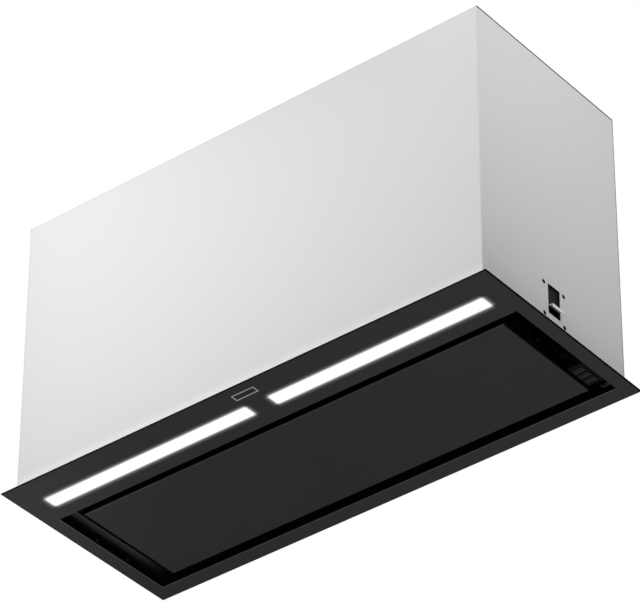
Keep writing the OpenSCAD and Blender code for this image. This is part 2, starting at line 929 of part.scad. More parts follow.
module motor_shaft() {
    color("silver") on_fan_axis() translate([0, 0, -motor_front - shaft_in])
        cylinder(h = motor_front + shaft_in + shaft_out, r = shaft_r);
}

module motor() {
    z1 = -motor_front;
    z0 = z1 - motor_l;
    color("#6c7073") on_fan_axis() rotate_extrude($fn = 96) polygon([
        [0, z0], [motor_cap_r, z0], [motor_r, z0 + motor_cap_l], [motor_r, z1 - motor_cap_l],
        [motor_cap_r, z1], [motor_boss_r, z1], [motor_boss_r, z1 + motor_boss_l],
        [shaft_r + run_gap, z1 + motor_boss_l], [shaft_r + run_gap, z1 - shaft_in - fit_gap],
        [0, z1 - shaft_in - fit_gap]]);
}

module at_posts() {
    for (a = [90, 210, 330]) {
        rotate([0, 0, a]) translate([post_at_r, 0, 0]) children();
    }
}

module motor_bracket() {
    z1 = -motor_front - motor_l;
    z0 = z1 - spider_t;
    color("#8f9294") on_fan_axis() {
        translate([0, 0, z0]) cylinder(h = spider_t, r = spider_hub_r);
        for (a = [90, 210, 330]) {
            rotate([0, 0, a]) translate([0, -spider_arm_w / 2, z0]) cube([post_at_r, spider_arm_w, spider_t]);
        }
        at_posts() {
            translate([0, 0, z0]) cylinder(h = spider_t, d = spider_arm_w);
            translate([0, 0, z1]) cylinder(h = -scroll_hw - bush_t - z1, r = post_r);
        }
    }
}

module motor_bushes() {
    color("#26272a") on_fan_axis() at_posts()
        translate([0, 0, -scroll_hw - bush_t]) cylinder(h = bush_t, r = bush_r);
}

module blower_bracket() {
    y0 = outlet_y1;
    y1 = in_y;
    z0 = fan_z;
    color("#8f9294") {
        block([-stay_w / 2, y0, z0], [stay_w / 2, y0 + stay_t, z0 + stay_h]);
        block([-stay_w / 2, y0, z0], [stay_w / 2, y1, z0 + stay_t]);
        block([-stay_w / 2, y1 - stay_t, z0 - stay_h / 2], [stay_w / 2, y1, z0 + stay_t]);
    }
}

module outlet_adaptor() {
    z1 = wall_top;
    color("#e3e4e2") difference() {
        union() {
            block([-scroll_hw, outlet_y0, outlet_z], [scroll_hw, outlet_y1, z1]);
            block([-collar_base, duct_y - collar_base, z1 - adaptor_plate_t],
                [collar_base, duct_y + collar_base, z1]);
        }
        block([-scroll_hw + scroll_wall, outlet_y0 + scroll_wall, outlet_z - cut],
            [scroll_hw - scroll_wall, outlet_y1 - scroll_wall, z1 - adaptor_plate_t]);
        translate([0, duct_y, z1 - adaptor_plate_t - cut])
            cylinder(h = adaptor_plate_t + 2 * cut, r = collar_in_r - scroll_wall, $fn = 96);
        collar_screw_places() translate([0, 0, outlet_z]) cylinder(h = body_h - outlet_z, r = screw_hole_r);
    }
}

// Duct collar and damper

module duct_collar() {
    z0 = body_h;
    color("#2a2b2d") difference() {
        union() {
            block([-collar_base, duct_y - collar_base, z0], [collar_base, duct_y + collar_base, z0 + base_t]);
            translate([0, duct_y, z0]) cylinder(h = base_t + collar_h, r = duct_r, $fn = 96);
        }
        translate([0, duct_y, z0 - cut]) cylinder(h = stop_z - z0 + 2 * cut, r = collar_in_r - stop_w, $fn = 96);
        translate([0, duct_y, z0 - cut]) cylinder(h = stop_z - z0 + cut, r = collar_in_r, $fn = 96);
        translate([0, duct_y, stop_z + stop_t]) cylinder(h = collar_h + cut, r = collar_in_r, $fn = 96);
        translate([0, duct_y, stop_z]) cylinder(h = stop_t + cut, r = collar_in_r - stop_w, $fn = 96);
        translate([0, duct_y, spindle_z]) rod_x(-duct_r - cut, duct_r + cut, spindle_r + run_gap);
        collar_screw_places() translate([0, 0, z0 - cut]) cylinder(h = base_t + 2 * cut, r = screw_hole_r);
    }
}

module damper_spindle() {
    color("silver") translate([0, duct_y, spindle_z]) rod_x(-duct_r, duct_r, spindle_r);
}

module front_flap(shift) {
    difference() {
        union() {
            intersection() {
                translate([0, duct_y, flap_z]) cylinder(h = flap_t, r = flap_r, $fn = 96);
                block([-duct_r, duct_y - duct_r, flap_z], [duct_r, duct_y - flap_edge, flap_z + flap_t]);
            }
            for (s = knuckle_shares, side = [-1, 1]) {
                x = side * s * flap_r + shift;
                translate([0, duct_y, spindle_z]) rod_x(x - knuckle_l / 2, x + knuckle_l / 2, knuckle_r);
                block([x - knuckle_l / 2, duct_y - flap_edge - flap_t, flap_z],
                    [x + knuckle_l / 2, duct_y - spindle_r, spindle_z]);
            }
        }
        translate([0, duct_y, spindle_z]) rod_x(-duct_r, duct_r, spindle_r + run_gap);
    }
}

module damper_flap_front() {
    color("#3a3c3f") front_flap(knuckle_l / 2 + fit_gap);
}

module damper_flap_rear() {
    color("#3a3c3f") translate([0, duct_y, 0]) rotate([0, 0, 180]) translate([0, -duct_y, 0])
        front_flap(knuckle_l / 2 + fit_gap);
}

// Electrics

gland_x = in_x - gland_side;
gland_y = in_y - gland_back;
box_d = 2 * (gland_y - gland_nut_r - box_clear);
box_x1 = in_x - box_side;
box_x0 = box_x1 - box_w;
box_z1 = wall_top;
box_z0 = box_z1 - box_h;

module control_box() {
    color("#d4d5d0") difference() {
        block([box_x0, -box_d / 2, box_z0], [box_x1, box_d / 2, box_z1]);
        block([box_x0 + box_wall, -box_d / 2 + box_wall, box_z0 - cut],
            [box_x1 - box_wall, box_d / 2 - box_wall, box_z1 - box_wall]);
    }
}

module control_box_lid() {
    color("#cfd0cb") {
        block([box_x0, -box_d / 2, box_z0 - lid_t], [box_x1, box_d / 2, box_z0]);
        block([box_x0 + box_wall + fit_gap, -box_d / 2 + box_wall + fit_gap, box_z0],
            [box_x1 - box_wall - fit_gap, box_d / 2 - box_wall - fit_gap, box_z0 + lid_t]);
    }
}

module motor_capacitor() {
    z = wall_top - capacitor_r - saddle_t;
    color("#dcdcd6") translate([capacitor_side - in_x, 0, z]) {
        rod_x(-capacitor_l / 2, capacitor_l / 2, capacitor_r);
        for (x = [-capacitor_l / 4, capacitor_l / 4]) {
            block([x - saddle_t, -capacitor_r, 0], [x + saddle_t, capacitor_r, capacitor_r + saddle_t]);
        }
    }
}

module cable_gland() {
    color("#2a2b2d") translate([gland_x, gland_y, 0]) rotate_extrude() polygon([
        [gland_bore_r, wall_top - gland_below], [gland_r, wall_top - gland_below],
        [gland_r, wall_top - gland_nut_h], [gland_nut_r, wall_top - gland_nut_h],
        [gland_nut_r, wall_top], [gland_r, wall_top], [gland_r, body_h],
        [gland_nut_r, body_h], [gland_nut_r, body_h + gland_nut_h],
        [gland_r, body_h + gland_head_h], [gland_bore_r, body_h + gland_head_h]]);
}

// Push buttons

module pod_profile() {
    polygon(concat(
        [[pod_x0, pod_face_z], [open_x, pod_face_z]],
        arc([guide_x, lip_h], guide_r - flange_t, 0, 90, guide_steps),
        [[guide_x - fit_gap, lip_h + guide_r - flange_t], [guide_x - fit_gap, pod_top_z], [pod_x0, pod_top_z]]));
}

module key_pocket(y) {
    grow = key_gap;
    block([key_x - key_l / 2 - grow, y - key_w / 2 - grow, pod_face_z - cut],
        [key_x + key_l / 2 + grow, y + key_w / 2 + grow, key_z + key_h + key_travel + pocket_clear]);
}

module control_pod() {
    color("#1f1f21") difference() {
        along_y(pod_y0, pod_y1) pod_profile();
        for (i = [-1, 0, 1]) {
            key_pocket(pod_y + i * key_pitch);
        }
    }
}

// A key with a rounded crown that faces down
module push_key(i) {
    y = pod_y + i * key_pitch;
    half = key_w / 2;
    crown_r = (half * half + key_crown_h * key_crown_h) / (2 * key_crown_h);
    crown_a = asin(half / crown_r);
    color("#2a2a2c") along_x(key_x - key_l / 2, key_x + key_l / 2) polygon(concat(
        arc([y, key_z + crown_r], crown_r, up_turn - crown_a, up_turn + crown_a, 8),
        [[y + half, key_z + key_h], [y - half, key_z + key_h]]));
}

module button_front() {
    push_key(-1);
}

module button_middle() {
    push_key(0);
}

module button_rear() {
    push_key(1);
}

module remote_receiver() {
    y = open_y1 - receiver_back;
    color("#19191b") {
        block([open_x - receiver_l, y - receiver_w / 2, pod_face_z],
            [open_x, y + receiver_w / 2, pod_face_z + receiver_h]);
        translate([open_x - receiver_l + receiver_w / 2, y, pod_face_z - lens_t])
            cylinder(h = lens_t, d = receiver_w - 2 * lens_t);
    }
}

// Side clips

module right_holder() {
    half = window_w / 2;
    back_x = holder_x0 + holder_wall;
    pad_x = holder_x1 - pad_recess;
    difference() {
        block([holder_x0, -half - holder_side, holder_z0], [holder_x1, half + holder_side, holder_z1]);
        block([pad_x, -half - holder_lap, window_z - holder_lap],
            [holder_x1 + cut, half + holder_lap, window_z + window_h + holder_lap]);
        block([back_x, -half, window_z - holder_lap], [holder_x1 + cut, half, pad_z0]);
        block([back_x, -clip_w / 2 - fit_gap, window_z - holder_lap],
            [pad_x - pad_t, clip_w / 2 + fit_gap, clip_z + clip_eye_r + fit_gap]);
    }
}

module clip_holder_right() {
    color("#202022") right_holder();
}

module clip_holder_left() {
    color("#202022") mirror([1, 0, 0]) right_holder();
}

// A leaf that hangs from a rolled eye and turns out through the window to a lip
module right_clip() {
    lip_out = body_w / 2 + clip_out;
    knee_z = clip_lip_z1 + clip_rise;
    inner = [[clip_x, clip_z], [clip_x, knee_z], [lip_out, clip_lip_z1], [lip_out, clip_lip_z1 - clip_lip_h]];
    along_y(-clip_w / 2, clip_w / 2) union() {
        polygon(folded(inner, clip_t));
        translate([clip_x, clip_z]) circle(r = clip_eye_r);
    }
}

module side_clip_right() {
    color("#c9ccd0") right_clip();
}

module side_clip_left() {
    color("#c9ccd0") mirror([1, 0, 0]) right_clip();
}

bottom_frame();
front_wall();
rear_wall();
left_wall();
right_wall();
top_cover();
front_baffle();
rear_baffle();
left_air_guide();
right_air_guide();
lip_rivets();
filter_plate();
led_diffuser_left();
led_diffuser_right();
led_channel_left();
led_channel_right();
led_boards();
suction_panel();
panel_backing();
hinge_arm_left();
hinge_arm_right();
hinge_bracket_left();
hinge_bracket_right();
hinge_pins();
catch_magnets();
filter_frame_left();
filter_frame_right();
filter_mesh_left();
filter_mesh_right();
filter_latch_left();
filter_latch_right();
blower_scroll_left();
blower_scroll_right();
impeller();
motor_shaft();
motor();
motor_bracket();
motor_bushes();
blower_bracket();
outlet_adaptor();
duct_collar();
damper_spindle();
damper_flap_front();
damper_flap_rear();
control_box();
control_box_lid();
motor_capacitor();
cable_gland();
control_pod();
button_front();
button_middle();
button_rear();
remote_receiver();
clip_holder_left();
clip_holder_right();
side_clip_left();
side_clip_right();
cover_screws();
collar_screws();
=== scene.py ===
import math

import bmesh
import bpy
from mathutils import Matrix, Vector


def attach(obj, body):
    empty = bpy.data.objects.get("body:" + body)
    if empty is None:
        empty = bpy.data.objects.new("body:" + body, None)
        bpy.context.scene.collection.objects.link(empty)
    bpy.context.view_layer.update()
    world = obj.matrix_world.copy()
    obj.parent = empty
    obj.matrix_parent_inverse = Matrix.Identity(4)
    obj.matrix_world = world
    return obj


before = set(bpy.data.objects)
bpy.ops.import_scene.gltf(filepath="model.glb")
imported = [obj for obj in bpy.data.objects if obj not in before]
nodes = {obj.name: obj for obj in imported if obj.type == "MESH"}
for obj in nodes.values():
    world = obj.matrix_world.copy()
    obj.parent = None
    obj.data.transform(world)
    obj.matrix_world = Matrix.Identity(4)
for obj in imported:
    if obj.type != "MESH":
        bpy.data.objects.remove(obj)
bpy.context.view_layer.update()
MM = 0.001
X, Y, Z = range(3)


# Camera

CAMERA_AT = (2.5481, -3.1684, -2.7939)
CAMERA_TURN = (38.7459, 36.3888, 0.228)  # yaw, pitch and roll, in degrees
CAMERA_CLIP = (0.1, 60)
SENSOR_MM = 36
LENS_MM = 244.12


def make_camera():
    yaw, pitch, roll = (math.radians(angle) for angle in CAMERA_TURN)
    forward = Vector((-math.sin(yaw) * math.cos(pitch), math.cos(yaw) * math.cos(pitch),
                      math.sin(pitch)))
    level_right = Vector((math.cos(yaw), math.sin(yaw), 0))
    level_up = level_right.cross(forward)
    right = math.cos(roll) * level_right + math.sin(roll) * level_up
    up = -math.sin(roll) * level_right + math.cos(roll) * level_up
    data = bpy.data.cameras.new("camera")
    data.sensor_width = SENSOR_MM
    data.lens = LENS_MM
    data.clip_start, data.clip_end = CAMERA_CLIP
    camera = bpy.data.objects.new("camera", data)
    turn = Matrix((right, up, -forward)).transposed()
    camera.matrix_world = Matrix.Translation(CAMERA_AT) @ turn.to_4x4()
    bpy.context.scene.collection.objects.link(camera)
    bpy.context.scene.camera = camera


make_camera()


# Shader nodes

NOISE_SPAN = (0.3, 0.7)  # most of a noise's values lie here
MIX_FIRST, MIX_SECOND, MIX_RESULT = 6, 7, 2  # the Mix node's sockets for colours


def connect(tree, socket, value):
    """Links the socket to another node's output, or sets it."""
    if isinstance(value, bpy.types.NodeSocket):
        tree.links.new(value, socket)
    else:
        socket.default_value = value


def add_node(tree, kind, inputs=None, **settings):
    node = tree.nodes.new("ShaderNode" + kind)
    for name, value in settings.items():
        setattr(node, name, value)
    for socket, value in (inputs or {}).items():
        connect(tree, node.inputs[socket], value)
    return node


def new_material(name):
    material = bpy.data.materials.new(name)
    material.use_nodes = True
    tree = material.node_tree
    tree.nodes.clear()
    bsdf = add_node(tree, "BsdfPrincipled")
    add_node(tree, "OutputMaterial", {0: bsdf.outputs[0]})
    return material, tree, bsdf


def grey(level, warm=0.0):
    return (level * (1 + warm), level, level * (1 - warm), 1)


def noise(tree, scale, detail, rough=0.5, stretch=None):
    where = add_node(tree, "TexCoord").outputs["Object"]
    if stretch:
        where = add_node(tree, "Mapping", {"Vector": where, "Scale": stretch}).outputs[0]
    inputs = {"Vector": where, "Scale": scale, "Detail": detail, "Roughness": rough}
    return add_node(tree, "TexNoise", inputs).outputs["Fac"]


def crystals(tree, scale):
    """A number between 0 and 1 for each crystal."""
    where = add_node(tree, "TexCoord").outputs["Object"]
    cells = add_node(tree, "TexVoronoi", {"Vector": where, "Scale": scale})
    return add_node(tree, "SeparateColor", {0: cells.outputs["Color"]}).outputs[0]


def map_range(tree, value, span, to_span, **settings):
    inputs = {"Value": value, "From Min": span[0], "From Max": span[1],
              "To Min": to_span[0], "To Max": to_span[1]}
    return add_node(tree, "MapRange", inputs, **settings).outputs[0]


def tint(tree, value, dark, light):
    ramp = add_node(tree, "ValToRGB", {0: value})
    ends = ramp.color_ramp.elements
    for end, position, colour in zip(ends, NOISE_SPAN, (dark, light)):
        end.position = position
        end.color = colour
    return ramp.outputs[0]


def mixed(tree, factor, first, second):
    inputs = {"Factor": factor, MIX_FIRST: first, MIX_SECOND: second}
    return add_node(tree, "Mix", inputs, data_type="RGBA").outputs[MIX_RESULT]


def bump(tree, height, strength, distance):
    inputs = {"Height": height, "Strength": strength, "Distance": distance}
    return add_node(tree, "Bump", inputs).outputs[0]


def math_node(tree, operation, *values, clamp=False):
    inputs = dict(enumerate(values))
    return add_node(tree, "Math", inputs, operation=operation, use_clamp=clamp).outputs[0]


def absolute(tree, value):
    return math_node(tree, "ABSOLUTE", value)


def both(tree, first, second):
    return math_node(tree, "MULTIPLY", first, second)


def either(tree, first, second):
    return math_node(tree, "MAXIMUM", first, second)


def part_of(tree, output, axis):
    vector = add_node(tree, "TexCoord").outputs[output]
    return add_node(tree, "SeparateXYZ", {0: vector}).outputs[axis]


def place(tree, axis):
    """Where a point lies along an axis of the frame, in metres, with the part at rest."""
    return part_of(tree, "Object", axis)


def off_middle(tree, axis):
    return absolute(tree, place(tree, axis))


def facing(tree, axis):
    """1 where a face looks along the axis, either way, and 0 where it lies along it."""
    return absolute(tree, part_of(tree, "Normal", axis))


def rise(tree, value, span, to_span=(0.0, 1.0)):
    """A soft step: 0 below the span and 1 above it."""
    return map_range(tree, value, span, to_span, interpolation_type="SMOOTHSTEP")


def fall(tree, value, span, rest=0.0):
    """A soft step: 1 below the span and rest above it."""
    return rise(tree, value, span, (1.0, rest))


def band(tree, value, span, soft):
    """1 in the span and 0 further than soft from it."""
    lo, hi = span
    return both(tree, rise(tree, value, (lo - soft, lo)), fall(tree, value, (hi, hi + soft)))


def paint(tree, colour, mask, level):
    """The colour where the mask is 0, and the grey of that level where it is 1."""
    return mixed(tree, mask, colour, grey(level))


# Painted light and shade on single nodes: edge lines, painted shade and painted highlights. A
# span is where a soft step begins and ends, along an axis of the frame and in metres, or along a
# face's normal.

LINE_SOFT = 0.3 * MM

# Painted shade: near black lines along the cover's side edges and the side sheets' top edges.
SHADE_LINE = 0.004
COVER_SHADE_LINE_X = (0.3358, 0.3363)
SIDE_SHADE_LINE_Z = (0.3845, 0.3849)

# Painted shade on the rear sheet's faces that look sideways.
REAR_EDGE_SHADE, REAR_EDGE_SHADE_FACING = 0.10, (0.3, 0.6)
# Painted shade on the cut edges of the side sheets' window and holes.
CUT_EDGE_SHADE, CUT_EDGE_SHADE_FACING, CUT_EDGE_SHADE_Y = 0.03, (0.4, 0.9), (0.060, 0.062)
# Painted shade on the side sheets' foot, darker towards the front.
FOOT_SHADE, FOOT_SHADE_Z, FOOT_SHADE_Y, FOOT_SHADE_REAR = 0.69, (0.01, 0.13), (-0.132, 0.1), 0.3
# Painted shade at the side sheets' joint to the rear sheet.
REAR_JOINT_SHADE, REAR_JOINT_SHADE_Y = 0.25, (0.1303, 0.1308)
# A painted band of light on the front sheet's foot, above the flange.
LIT_FOOT, LIT_FOOT_Z = 0.87, (0.012, 0.028)
# Painted shade where the front sheet folds back at its left and right edges.
FRONT_FOLD_SHADE, FRONT_FOLD_SHADE_X = 0.45, (0.3356, 0.3368)


def rear_edge_painted_shade(tree, colour):
    """Painted shade on the rear sheet's faces that look sideways, the sheet edges that show on
    the casing's sides.
    """
    return paint(tree, colour, rise(tree, facing(tree, X), REAR_EDGE_SHADE_FACING), REAR_EDGE_SHADE)


def cover_painted_shade_line(tree, colour):
    """Painted shade: a near black line along the cover's side edges, where the edge lies in
    shade.
    """
    return paint(tree, colour, rise(tree, off_middle(tree, X), COVER_SHADE_LINE_X), SHADE_LINE)


def side_painted_shade(tree, colour):
    """Painted shade on the cut edges in the sheet's window and holes, on its foot, most towards
    the front, at the joint to the rear sheet, and in a near black line along its top edge."""
    cut = both(tree, fall(tree, facing(tree, X), CUT_EDGE_SHADE_FACING),
               fall(tree, off_middle(tree, Y), CUT_EDGE_SHADE_Y))
    colour = paint(tree, colour, cut, CUT_EDGE_SHADE)
    foot = both(tree, fall(tree, place(tree, Z), FOOT_SHADE_Z),
                fall(tree, place(tree, Y), FOOT_SHADE_Y, FOOT_SHADE_REAR))
    colour = paint(tree, colour, foot, FOOT_SHADE)
    colour = paint(tree, colour, rise(tree, place(tree, Y), REAR_JOINT_SHADE_Y), REAR_JOINT_SHADE)
    return paint(tree, colour, rise(tree, place(tree, Z), SIDE_SHADE_LINE_Z), SHADE_LINE)


def front_painted_light(tree, colour):
    """A painted band of light on the front sheet's foot, just above the flange, and painted shade
    where the sheet folds back at its left and right edges."""
    colour = paint(tree, colour, fall(tree, place(tree, Z), LIT_FOOT_Z), LIT_FOOT)
    return paint(tree, colour, rise(tree, off_middle(tree, X), FRONT_FOLD_SHADE_X), FRONT_FOLD_SHADE)


STRIP_X, STRIP_Y = (0.0125, 0.320), (-0.110, -0.084)
STRIP_ROUND = 0.0068


def depth_in_strip(tree):
    """How far a point lies inside a strip's lit area, which has rounded corners; negative
    outside."""
    beyond = []
    for value, (lo, hi) in ((off_middle(tree, X), STRIP_X), (place(tree, Y), STRIP_Y)):
        off = absolute(tree, math_node(tree, "SUBTRACT", value, (lo + hi) / 2))
        past = math_node(tree, "SUBTRACT", off, (hi - lo) / 2 - STRIP_ROUND)
        beyond.append(math_node(tree, "POWER", either(tree, past, 0.0), 2.0))
    far = math_node(tree, "SQRT", math_node(tree, "ADD", *beyond))
    return math_node(tree, "SUBTRACT", STRIP_ROUND, far)


SHADE = 0.002  # painted shade: the grey of a charcoal sheet's faces that turn away from the light
# Painted glow on the flange beside the light strips.
STRIP_SPILL, STRIP_SPILL_DEPTH = 0.17, (-0.0034, 0.0003)
# Painted shade along the flange's outer edge.
EDGE_SHADE_RIGHT_X = (0.3478, 0.3488)
EDGE_SHADE_X, EDGE_SHADE_Y = (0.3486, 0.3493), (0.1436, 0.1443)
# Painted highlights along the flange's folds into the opening.
LIT_FOLD = 0.105
BACK_FOLD_Y, BACK_FOLD_END_X = (0.1226, 0.1236), (0.3310, 0.3313)
LEFT_FOLD_X, LEFT_FOLD_Y = (-0.3322, -0.3312), (-0.0635, 0.1225)
FOLD_Z = (0.0002, 0.0004)


def flange_painted_light(tree, colour):
    """A painted glow on the coating close to the light strips, painted shade along the outer
    edge, and painted highlights along the folds into the opening at the back and the left."""
    spill = rise(tree, depth_in_strip(tree), STRIP_SPILL_DEPTH)
    colour = paint(tree, colour, spill, STRIP_SPILL)
    rim = either(tree, rise(tree, off_middle(tree, X), EDGE_SHADE_X),
                 rise(tree, off_middle(tree, Y), EDGE_SHADE_Y))
    rim = either(tree, rise(tree, place(tree, X), EDGE_SHADE_RIGHT_X), rim)
    colour = paint(tree, colour, rim, SHADE)
    back = both(tree, band(tree, place(tree, Y), BACK_FOLD_Y, LINE_SOFT),
                fall(tree, off_middle(tree, X), BACK_FOLD_END_X))
    left = both(tree, band(tree, place(tree, X), LEFT_FOLD_X, LINE_SOFT),
                band(tree, place(tree, Y), LEFT_FOLD_Y, LINE_SOFT))
    fold = both(tree, either(tree, back, left), fall(tree, place(tree, Z), FOLD_Z))
    return paint(tree, colour, fold, LIT_FOLD)


# Painted shade on the panel's side edges.
PANEL_SIDE_X = (0.3026, 0.3034)
# Painted highlight on the panel's front edge.
PANEL_FRONT_HIGHLIGHT, PANEL_FRONT_HIGHLIGHT_NORMAL, PANEL_FRONT_HIGHLIGHT_SOFT = 0.075, (-0.75, -0.1), 0.05


def panel_painted_light(tree, colour):
    """Painted shade on the folded side edges, which turn away from the light, and a painted
    highlight on the front one.
    """
    colour = paint(tree, colour, rise(tree, off_middle(tree, X), PANEL_SIDE_X), SHADE)
    front = band(tree, part_of(tree, "Normal", Y), PANEL_FRONT_HIGHLIGHT_NORMAL, PANEL_FRONT_HIGHLIGHT_SOFT)
    return paint(tree, colour, front, PANEL_FRONT_HIGHLIGHT)


# Painted shade and a painted highlight on the air guides.
GUIDE_FOOT_SHADE, GUIDE_FOOT_SHADE_X = 0.006, (0.3290, 0.3320)
GUIDE_HIGHLIGHT, GUIDE_HIGHLIGHT_X = 0.10, (0.3266, 0.3272)
GUIDE_TOP_SHADE, GUIDE_TOP_SHADE_X = 0.003, (0.3258, 0.3264)
GUIDE_REAR_SHADE, GUIDE_REAR_SHADE_Y = 0.008, (0.06, 0.125)


def guide_painted_light(tree, colour):
    """Painted shade on the guide near the flange, a painted highlight at the end of its curve,
    and painted shade above that and towards the rear."""
    x = off_middle(tree, X)
    colour = paint(tree, colour, rise(tree, x, GUIDE_FOOT_SHADE_X), GUIDE_FOOT_SHADE)
    colour = paint(tree, colour, band(tree, x, GUIDE_HIGHLIGHT_X, LINE_SOFT), GUIDE_HIGHLIGHT)
    colour = paint(tree, colour, fall(tree, x, GUIDE_TOP_SHADE_X), GUIDE_TOP_SHADE)
    return paint(tree, colour, rise(tree, place(tree, Y), GUIDE_REAR_SHADE_Y), GUIDE_REAR_SHADE)


# Painted shade on the spring leaf inside the casing.
LEAF_INSIDE_SHADE, LEAF_INSIDE_SHADE_X = 0.006, (0.3360, 0.3371)


def leaf_painted_shade(tree, colour):
    """Painted shade on the spring leaf inside the casing."""
    return paint(tree, colour, fall(tree, off_middle(tree, X), LEAF_INSIDE_SHADE_X), LEAF_INSIDE_SHADE)


# Materials. A noise's numbers are its scale, to the metre, its detail and its roughness.

COLOUR_NOISE = (7.0, 4.0)
ROUGH_NOISE = (40.0, 5.0, 0.6)
GRAIN_NOISE = (2.0, 0.6)
GRAIN_STRENGTH = 0.35
# Faces that count as upright get painted shade.
UPRIGHT_FACING = (0.15, 0.75)
DARKEST_CRYSTAL = 0.72


def finish_of(name, level, spread, rough, grain, grain_h, metallic=0.0, specular=0.5, warm=0.0,
              stretch=None, side=None, lines=None, spangle=0.0):
    """level, spread: the grey and the share by which it varies.
    rough: the least and the greatest roughness.
    grain, grain_h: bumps to the metre and their height in mm.
    stretch: the scales along the axes of a brushed grain.
    side: the grey of painted shade on faces that stand upright, where a dark sheet's cut and
    folded edges lie in shade.
    lines: a function that paints edge lines, painted shade and painted highlights into the
    colour.
    spangle: crystals to the metre, each with its own grey."""
    material, tree, bsdf = new_material(name)
    dark, light = (grey(level * share, warm) for share in (1 - spread, 1 + spread))
    colour = tint(tree, noise(tree, *COLOUR_NOISE), dark, light)
    if side is not None:
        colour = paint(tree, colour, fall(tree, facing(tree, Z), UPRIGHT_FACING), side)
    if lines:
        colour = lines(tree, colour)
    if spangle:
        colour = mixed(tree, crystals(tree, spangle), grey(level * DARKEST_CRYSTAL), colour)
    rough_noise = noise(tree, *ROUGH_NOISE, stretch)
    fine = noise(tree, grain, *GRAIN_NOISE, stretch)
    sockets = bsdf.inputs
    connect(tree, sockets["Base Color"], colour)
    connect(tree, sockets["Roughness"], map_range(tree, rough_noise, NOISE_SPAN, rough))
    connect(tree, sockets["Normal"], bump(tree, fine, GRAIN_STRENGTH, grain_h * MM))
    sockets["Metallic"].default_value = metallic
    sockets["Specular IOR Level"].default_value = specular
    return material


COATING = (0.745, 0.004, (0.40, 0.46), 1100, 0.012)
COATING_GLOSS = dict(specular=0.3)
CHARCOAL_GLOSS = dict(specular=0.03)

# Each finish: the material's name, level, spread, rough, grain and grain_h, then the rest
FINISHES = {
    "casing_side": ("casing_coating_side", *COATING, dict(COATING_GLOSS, lines=side_painted_shade)),
    "casing_front": ("casing_coating_front", *COATING, dict(COATING_GLOSS, lines=front_painted_light)),
    "casing_rear": ("casing_coating_rear", *COATING, dict(COATING_GLOSS, lines=rear_edge_painted_shade)),
    "cover": ("casing_coating_cover", *COATING, dict(COATING_GLOSS, lines=cover_painted_shade_line)),
    "flange": ("charcoal_coating", 0.054, 0.03, (0.52, 0.62), 1500, 0.05,
               dict(CHARCOAL_GLOSS, side=SHADE, lines=flange_painted_light)),
    "panel": ("charcoal_panel", 0.049, 0.03, (0.52, 0.62), 1500, 0.05,
              dict(CHARCOAL_GLOSS, side=SHADE, lines=panel_painted_light)),
    "guide": ("charcoal_guide", 0.055, 0.04, (0.50, 0.62), 1500, 0.05,
              dict(CHARCOAL_GLOSS, lines=guide_painted_light)),
    "black_sheet": ("black_sheet", 0.007, 0.08, (0.5, 0.62), 1300, 0.04, CHARCOAL_GLOSS),
    "zinc": ("zinc_sheet", 0.58, 0.05, (0.30, 0.5), 500, 0.02, dict(metallic=0.9, spangle=110)),
    "aluminium": ("aluminium_profile", 0.62, 0.03, (0.28, 0.42), 700, 0.01,
                  dict(metallic=1.0, stretch=(0.05, 1, 1))),
    # Painted shade: the filters' frames and mesh are near black so the gaps around the panel read
    # dark.
    "filter_frame": ("black_filter_frame", 0.016, 0.08, (0.4, 0.55), 1200, 0.03,
                     dict(specular=0.15)),
    "mesh": ("black_filter_mesh", 0.014, 0.10, (0.4, 0.55), 900, 0.03, dict(specular=0.12)),
    "steel": ("bright_steel", 0.60, 0.04, (0.18, 0.32), 800, 0.01, dict(metallic=1.0)),
    "spring": ("spring_steel", 0.95, 0.03, (0.25, 0.38), 800, 0.01,
               dict(metallic=0.3, stretch=(1, 0.1, 1), lines=leaf_painted_shade)),
    "backing": ("panel_backing_sheet", 0.022, 0.08, (0.45, 0.6), 900, 0.05, dict(specular=0.3)),
    "rubber": ("rubber", 0.018, 0.1, (0.7, 0.85), 1500, 0.03, dict(specular=0.3)),
    "magnet": ("magnet_case", 0.02, 0.1, (0.45, 0.6), 1400, 0.03, dict(specular=0.35)),
    "latch": ("latch_plastic", 0.05, 0.08, (0.4, 0.55), 1400, 0.03, {}),
    "scroll": ("scroll_plastic", 0.58, 0.03, (0.42, 0.55), 1300, 0.03, dict(warm=0.01)),
    "impeller": ("impeller_plastic", 0.05, 0.08, (0.4, 0.5), 1200, 0.02, {}),
    "motor": ("motor_can", 0.16, 0.06, (0.35, 0.5), 900, 0.03, dict(metallic=0.4)),
    "collar": ("collar_plastic", 0.024, 0.08, (0.42, 0.56), 1300, 0.04, dict(specular=0.4)),
    "flap": ("flap_plastic", 0.045, 0.08, (0.42, 0.56), 1300, 0.03, dict(specular=0.4)),
    "box": ("box_plastic", 0.58, 0.03, (0.42, 0.55), 1300, 0.03, dict(warm=0.02)),
    "capacitor": ("capacitor_can", 0.70, 0.03, (0.2, 0.32), 900, 0.01, dict(warm=0.01)),
    "pod": ("pod_plastic", 0.009, 0.08, (0.5, 0.62), 1600, 0.05, dict(specular=0.04)),
    "key": ("key_plastic", 0.020, 0.06, (0.30, 0.40), 1600, 0.01,
            dict(specular=0.12, side=SHADE)),
    "receiver": ("receiver_plastic", 0.006, 0.05, (0.2, 0.3), 900, 0.004, dict(specular=0.25)),
    "holder": ("holder_plastic", 0.0125, 0.08, (0.45, 0.6), 1600, 0.04, dict(specular=0.06)),
    "board": ("board_white", 0.70, 0.03, (0.35, 0.5), 900, 0.01, {}),
    "plate": ("blank_plate", 0.012, 0.05, (0.22, 0.32), 1500, 0.01, dict(specular=0.4)),
    "plate_rim": ("plate_rim", 0.93, 0.02, (0.25, 0.35), 900, 0.01, dict(metallic=1.0)),
}

